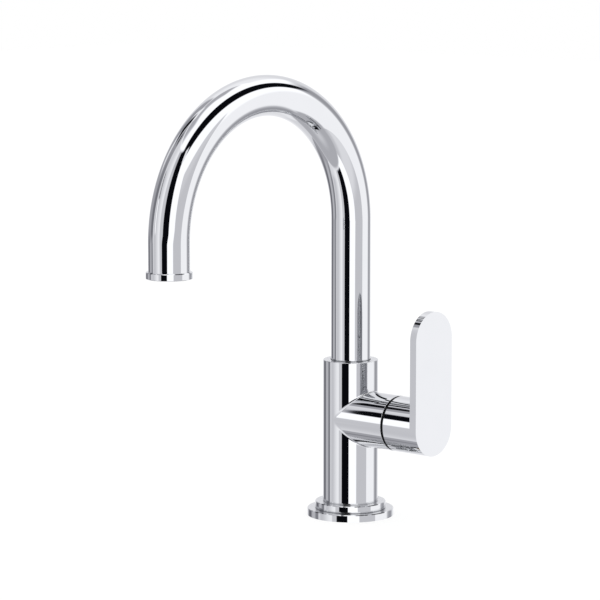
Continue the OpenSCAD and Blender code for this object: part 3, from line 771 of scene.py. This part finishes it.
# Walls, cards and flags of the studio, each laid over those before it. A row gives its tone as a
# display grey, then over how many degrees its left, right, lower and upper edges fade: round from
# the camera's own side, positive to its right, and up from the horizon. None is no edge.
CARDS = [
    (232, None, None, (24, 50), None),                    # wall behind, brighter at its top
    (214, None, None, None, (-4, 14)),                    # and at its foot
    (226, None, None, None, (-50, -40)),
    (254, (112, 118), (146, 160), (29, 35), None),        # lit part of it at the right
    (154, (-158, -152), (-99, -95), (-56, -53), (53, 56)),   # dim wall at the far left
    (206, None, (-149, -145), None, (-34, -27)),
    (98, (-148, -143), (-132, -125), (-54, -16), (-7, -2)),  # its doorway
    (176, (-126, -121), (-112, -107), (-50, -36), (-9, -5)),
    (124, (-109, -104), (-97, -93), (-50, -44), (-9, -3)),
    (112, (-122, -112), (-99, -95), (-7, -2), (14, 48)),
    (136, (-148, -144), (-137, -134), (18, 24), (36, 42)),
    (222, (-137.5, -134), (-128, -124), (13, 18), (29, 34)),
    (190, (-97, -83), (-51, -48), (-54, -52), (53, 56)),     # left wall and its lit parts
    (212, (-97, -86), (-51, -48), (-54, -52), (-46, -40)),
    (206, (-96.5, -93), (-51, -48), (30, 38), (53, 56)),
    (156, (-104, -100), (-97, -94), (-52, -50), (-38, -36)),
    (232, (-84, -52), (-51, -48), (-54, -52), (53, 56)),
    (195, (-51, -48), (112, 118), (-54, -52), (53, 56)),
    (176, (-50, -42), (-30, -25), (36, 46), (53, 56)),
    (254, (-13, -10), (112, 118), (-56, -54), None),      # soft box
    (238, (70, 72), (112, 118), None, (10, 18)),
    (190, (23.5, 25), (69.5, 71), (-56, -54), (22, 25.5)),    # grey card in front of it
    (214, (24, 28), (69, 72), None, (-26, -14)),
    (190, (24, 28), (69, 72), None, (-52, -41)),
    (200, (24, 28), (69, 72), (8, 18), (22, 25.5)),
    (148, (109, 128), (139, 153), None, (24, 31)),        # post at the right
    (168, None, None, None, (-57.5, -53)),                # floor
    (168, (62, 76), (112, 118), None, (-54, -48)),
    (196, None, None, None, (-90, -70)),
    (254, (-75, -58), None, (54, 57), None),              # ceiling
    (254, None, None, (73, 78), None),
    (166, None, (-88, -56), (56, 58.5), (70, 77)),        # beam from the right round the back
    (166, (160, 176), None, (56, 58.5), (70, 77)),
    (232, (-142, -138), (-122, -116), (40, 48), (61, 64)),    # lit frame and its dark pane
    (8, (-136.5, -133), (-123, -119.5), (32, 36), (52.5, 55.5)),
    (8, (-37.7, -36.6), (-8.2, -7), (-54, -51), (53, 54.5)),  # long black flag
]
# Narrow card and flags at the far left, which only the barrel and the hub mirror at any width
SLIVER = [(254, (-82.6, -81.8), (-78, -77), (-2.5, 0.5), (17, 18.5)),
          (8, (-80.15, -79.8), (-77, -76), (18, 19), (31.5, 34)),
          (8, (-95, -94), (-86.8, -85.8), (42.5, 43.5), (48.8, 49.6))]
# Light gap between the long flag and the black bar over the soft box
NOTCH = (224, (-2.5, -0.5), (8, 11), (41, 43), (50.5, 52.5))
METAL_SHINE = 0.674    # share of light that the plating gives back
OPEN_GREY = 206        # display grey where no card stands
BLACK_GREY = 8         # display grey of the bar
# Degrees by which the camera's side of the studio is turned round to the front
CAMERA_SIDE = 49.4
# Degrees by which what stands in front leans, and how much the far left bends with height
LEAN = 8
SLIVER_BEND = 0.009
# Slopes of the black bar's lower and upper edges and of its right end
BAR_LOW_AHEAD, BAR_LOW_RIGHT = 0.86, 0.90
BAR_HIGH_AHEAD, BAR_HIGH_RIGHT = 2.72, 3.04
BAR_END_SLOPE = 0.45
# Green and blue of a grey tone, so that the dark ones are slightly bluish
GREEN_LIFT = 0.0003
BLUE_POWER, BLUE_GAIN, BLUE_LIFT = 0.95, 1.028, 0.001


def studio():
    world = bpy.data.worlds.new("studio")
    world.use_nodes = True
    scene.world = world
    recipe = Recipe(world.node_tree)
    turned_round = recipe.add("Mapping", {"vector_type": "POINT"}, {
        "Vector": recipe.add("TexCoord", output="Generated"),
        "Rotation": (0, 0, math.radians(CAMERA_SIDE))})
    parts = recipe.node("SeparateXYZ", values={"Vector": turned_round})
    ahead, right, up = (Field(recipe, parts.outputs[axis]) for axis in "XYZ")
    around = right.maths("ARCTAN2", ahead) * math.degrees(1)
    height = up.maths("ARCSINE") * math.degrees(1)

    def laid_over(tone, cards, around):
        for value, left, far, low, high in cards:
            cover = None
            for place, edge, inside in ((around, left, True), (around, far, False),
                                        (height, low, True), (height, high, False)):
                if edge:
                    part = place.band(*edge) if inside else 1 - place.band(*edge)
                    cover = part if cover is None else cover * part
            tone = tone + cover * (grey(value) / METAL_SHINE - tone)
        return tone

    # What stands in front leans a little to the right above the horizon
    lean = LEAN * height.band(-8.5, 0) * around.band(-50, -20) * (1 - around.band(100, 125))
    tone = laid_over(grey(OPEN_GREY) / METAL_SHINE, CARDS, around - lean)
    tone = laid_over(tone, SLIVER, around + SLIVER_BEND * height * height)
    # Black bar over the soft box: its long edges are straight, so they sink towards its ends
    lower_edge = up - BAR_LOW_AHEAD * ahead - BAR_LOW_RIGHT * right
    upper_edge = BAR_HIGH_AHEAD * ahead + BAR_HIGH_RIGHT * right - up
    bar = (lower_edge.band(-0.035, 0.025) * upper_edge.band(-0.10, 0.08) * around.band(-30, -12)
           * height.band(21, 26) * (1 - (around + BAR_END_SLOPE * height).band(142, 149)))
    tone = tone + bar * (grey(BLACK_GREY) / METAL_SHINE - tone)
    tone = laid_over(tone, [NOTCH], around)

    tint = recipe.add("CombineColor", values={
        "Red": tone, "Green": tone + GREEN_LIFT,
        "Blue": tone.maths("POWER", BLUE_POWER) * BLUE_GAIN + BLUE_LIFT})
    path = recipe.node("LightPath")
    glossy = recipe.add("Background", values={"Color": tint, "Strength": 1.0})
    plain = recipe.add("Background", values={"Color": (1, 1, 1, 1), "Strength": 1.0})
    shown = recipe.add("MixShader", values={"Fac": path.outputs["Is Glossy Ray"],
                                            1: plain, 2: glossy})
    recipe.node("OutputWorld", values={"Surface": shown})


white_floor()
studio()
scene.view_settings.view_transform = "Standard"
